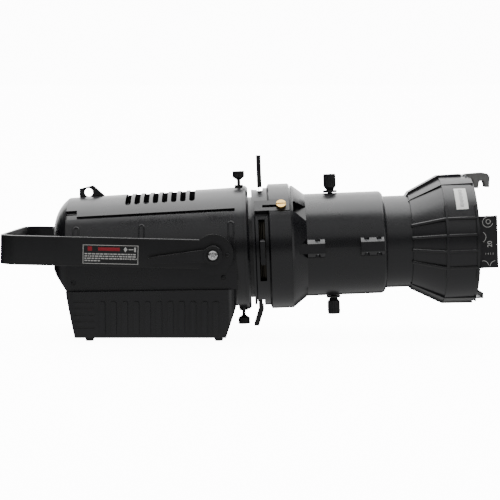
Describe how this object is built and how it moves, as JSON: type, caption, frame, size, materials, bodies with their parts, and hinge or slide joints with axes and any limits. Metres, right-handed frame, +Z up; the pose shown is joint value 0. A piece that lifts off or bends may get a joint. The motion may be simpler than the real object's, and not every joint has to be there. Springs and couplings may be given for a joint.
{
  "type": "ellipsoidal spotlight",
  "caption": "LED ellipsoidal spotlight with vented lamp house, framing shutters, rotating barrel, sliding lens tube, folded yoke with a lock lever and a front colour-frame holder.",
  "frame": {"origin": "centre of the whole object's box, on the plane that the four feet stand on", "axes": "+X along the object, the way the beam leaves (the beam axis itself rises 2.3 degrees), +Z up, -Y the side with the tilt lever and the label"},
  "size_m": [0.6864, 0.263, 0.2587],
  "materials": {
    "black_casting": "die-cast, under a satin black powder coat",
    "black_composite": "satin black, moulded in glass-filled polymer",
    "black_steel": "satin black powder coat on steel bar",
    "blade_steel": "heat-stained stainless sheet",
    "zinc_steel": "zinc-plated screws",
    "chrome_screw": "polished",
    "grey_spring_steel": "bead-blasted spring steel",
    "brass_screw": "turned",
    "black_knob": "moulded, fine texture",
    "black_moulding": "moulded",
    "button_grey": "moulded",
    "display_glass": "clear window over a dark display",
    "label_vinyl": "printed vinyl",
    "foot_rubber": "matt",
    "bare_aluminium": "machined",
    "bright_reflector": "anodised bright",
    "clear_optic": "polished",
    "circuit_board": "solder resist",
    "supply_case": "folded sheet",
    "friction_fibre": "fibre"
  },
  "bodies": {
    "lamp_house": {"housing_top_cover": "black_casting", "housing_side_near": "black_casting", "housing_side_far": "black_casting", "housing_front_ring": "black_casting", "housing_screws": "black_steel", "rear_cap": "black_casting", "control_panel": "black_moulding", "display_window": "display_glass", "power_sockets": "black_moulding", "data_sockets": "black_moulding", "safety_eye": "black_casting", "base_casting": "black_casting", "base_plate": "black_casting", "feet": "foot_rubber", "driver_board": "circuit_board", "board_spacers": "zinc_steel", "power_supply": "supply_case", "led_heat_sink": "bare_aluminium", "led_board": "circuit_board", "collimator_array": "clear_optic", "reflector_tube": "bright_reflector", "condenser_lens": "clear_optic", "fan_frame": "black_moulding", "pivot_studs": "zinc_steel", "friction_discs": "friction_fibre", "pivot_nut": "zinc_steel"},
    "fan": {"fan_rotor": "black_moulding"},
    "tilt_lever": {"tilt_lever": "black_steel", "lever_screw": "chrome_screw"},
    "yoke": {"yoke_frame": "black_steel", "yoke_label": "label_vinyl", "stop_screw": "black_steel"},
    "rotation_lock_top": {"rotation_lock_top": "black_knob"},
    "rotation_lock_bottom": {"rotation_lock_bottom": "black_knob"},
    "barrel": {"barrel_neck": "black_casting", "gate_barrel": "black_casting", "gate_plates": "blade_steel", "barrel_upper": "black_casting", "barrel_lower": "black_casting", "barrel_clamp_screws": "zinc_steel"},
    "slot_cover": {"slot_cover": "black_casting"},
    "cover_screw": {"cover_screw": "brass_screw"},
    "lens_tube": {"lens_tube": "black_composite", "front_lens": "clear_optic", "rear_lens": "clear_optic", "lens_rings": "black_moulding", "frame_channels": "black_steel", "clip_pin": "zinc_steel", "clip_spring": "zinc_steel"},
    "retaining_clip": {"retaining_clip": "grey_spring_steel"},
    "focus_knob_top": {"focus_knob_top": "black_knob"},
    "focus_knob_bottom": {"focus_knob_bottom": "black_knob"},
    "menu_button_1": {"menu_button_1": "button_grey"},
    "menu_button_2": {"menu_button_2": "button_grey"},
    "menu_button_3": {"menu_button_3": "button_grey"},
    "menu_button_4": {"menu_button_4": "button_grey"},
    "shutter_top": {"shutter_top": "black_steel"},
    "shutter_bottom": {"shutter_bottom": "black_steel"},
    "shutter_near": {"shutter_near": "black_steel"},
    "shutter_far": {"shutter_far": "black_steel"}
  },
  "joints": [
    {"name": "yoke_tilt", "type": "hinge", "parent": "lamp_house", "child": "yoke", "pos_m": [-0.04989, 0, 0.124], "axis": [0, 1, 0], "range_deg": [-115, 115]},
    {"name": "tilt_lever_turn", "type": "hinge", "parent": "lamp_house", "child": "tilt_lever", "pos_m": [-0.04989, 0, 0.124], "axis": [0, 1, 0], "range_deg": [-40, 40]},
    {"name": "fan_spin", "type": "hinge", "parent": "lamp_house", "child": "fan", "pos_m": [-0.22007, 0, 0.12517], "axis": [0.9992, 0, 0.0401], "continuous": true},
    {"name": "menu_button_1_press", "type": "slide", "parent": "lamp_house", "child": "menu_button_1", "axis": [0.9992, 0, 0.0401], "range_m": [0, 0.0012], "stiffness_N_per_m": 400},
    {"name": "menu_button_2_press", "type": "slide", "parent": "lamp_house", "child": "menu_button_2", "axis": [0.9992, 0, 0.0401], "range_m": [0, 0.0012], "stiffness_N_per_m": 400},
    {"name": "menu_button_3_press", "type": "slide", "parent": "lamp_house", "child": "menu_button_3", "axis": [0.9992, 0, 0.0401], "range_m": [0, 0.0012], "stiffness_N_per_m": 400},
    {"name": "menu_button_4_press", "type": "slide", "parent": "lamp_house", "child": "menu_button_4", "axis": [0.9992, 0, 0.0401], "range_m": [0, 0.0012], "stiffness_N_per_m": 400},
    {"name": "rotation_lock_top_turn", "type": "hinge", "parent": "lamp_house", "child": "rotation_lock_top", "pos_m": [-0.01643, 0, 0.22542], "axis": [-0.0401, 0, 0.9992], "continuous": true},
    {"name": "rotation_lock_bottom_turn", "type": "hinge", "parent": "lamp_house", "child": "rotation_lock_bottom", "pos_m": [-0.00841, 0, 0.02559], "axis": [-0.0401, 0, 0.9992], "continuous": true},
    {"name": "barrel_turn", "type": "hinge", "parent": "lamp_house", "child": "barrel", "pos_m": [0.01006, 0, 0.12641], "axis": [0.9992, 0, 0.0401], "range_deg": [-25, 25]},
    {"name": "slot_cover_slide", "type": "slide", "parent": "barrel", "child": "slot_cover", "axis": [0.9992, 0, 0.0401], "range_m": [0, 0.024]},
    {"name": "cover_screw_turn", "type": "hinge", "parent": "barrel", "child": "cover_screw", "pos_m": [0.04322, -0.06728, 0.19053], "axis": [-0.0274, -0.7314, 0.6814], "continuous": true},
    {"name": "shutter_top_push", "type": "slide", "parent": "barrel", "child": "shutter_top", "axis": [0.0401, 0, -0.9992], "range_m": [0, 0.03]},
    {"name": "shutter_bottom_push", "type": "slide", "parent": "barrel", "child": "shutter_bottom", "axis": [-0.0401, 0, 0.9992], "range_m": [-0.03, 0]},
    {"name": "shutter_near_push", "type": "slide", "parent": "barrel", "child": "shutter_near", "axis": [0, 1, 0], "range_m": [-0.007, 0.023]},
    {"name": "shutter_far_push", "type": "slide", "parent": "barrel", "child": "shutter_far", "axis": [0, -1, 0], "range_m": [-0.007, 0.023]},
    {"name": "lens_focus", "type": "slide", "parent": "barrel", "child": "lens_tube", "axis": [0.9992, 0, 0.0401], "range_m": [-0.02, 0.04]},
    {"name": "retaining_clip_lift", "type": "hinge", "parent": "lens_tube", "child": "retaining_clip", "pos_m": [0.30723, 0, 0.22772], "axis": [0, -1, 0], "range_deg": [0, 55], "stiffness_Nm_per_rad": 0.3, "springref_deg": -14.32},
    {"name": "focus_knob_top_turn", "type": "hinge", "parent": "lens_tube", "child": "focus_knob_top", "pos_m": [0.11436, 0, 0.22067], "axis": [-0.0401, 0, 0.9992], "continuous": true},
    {"name": "focus_knob_bottom_turn", "type": "hinge", "parent": "lens_tube", "child": "focus_knob_bottom", "pos_m": [0.12159, 0, 0.04081], "axis": [-0.0401, 0, 0.9992], "continuous": true}
  ]
}
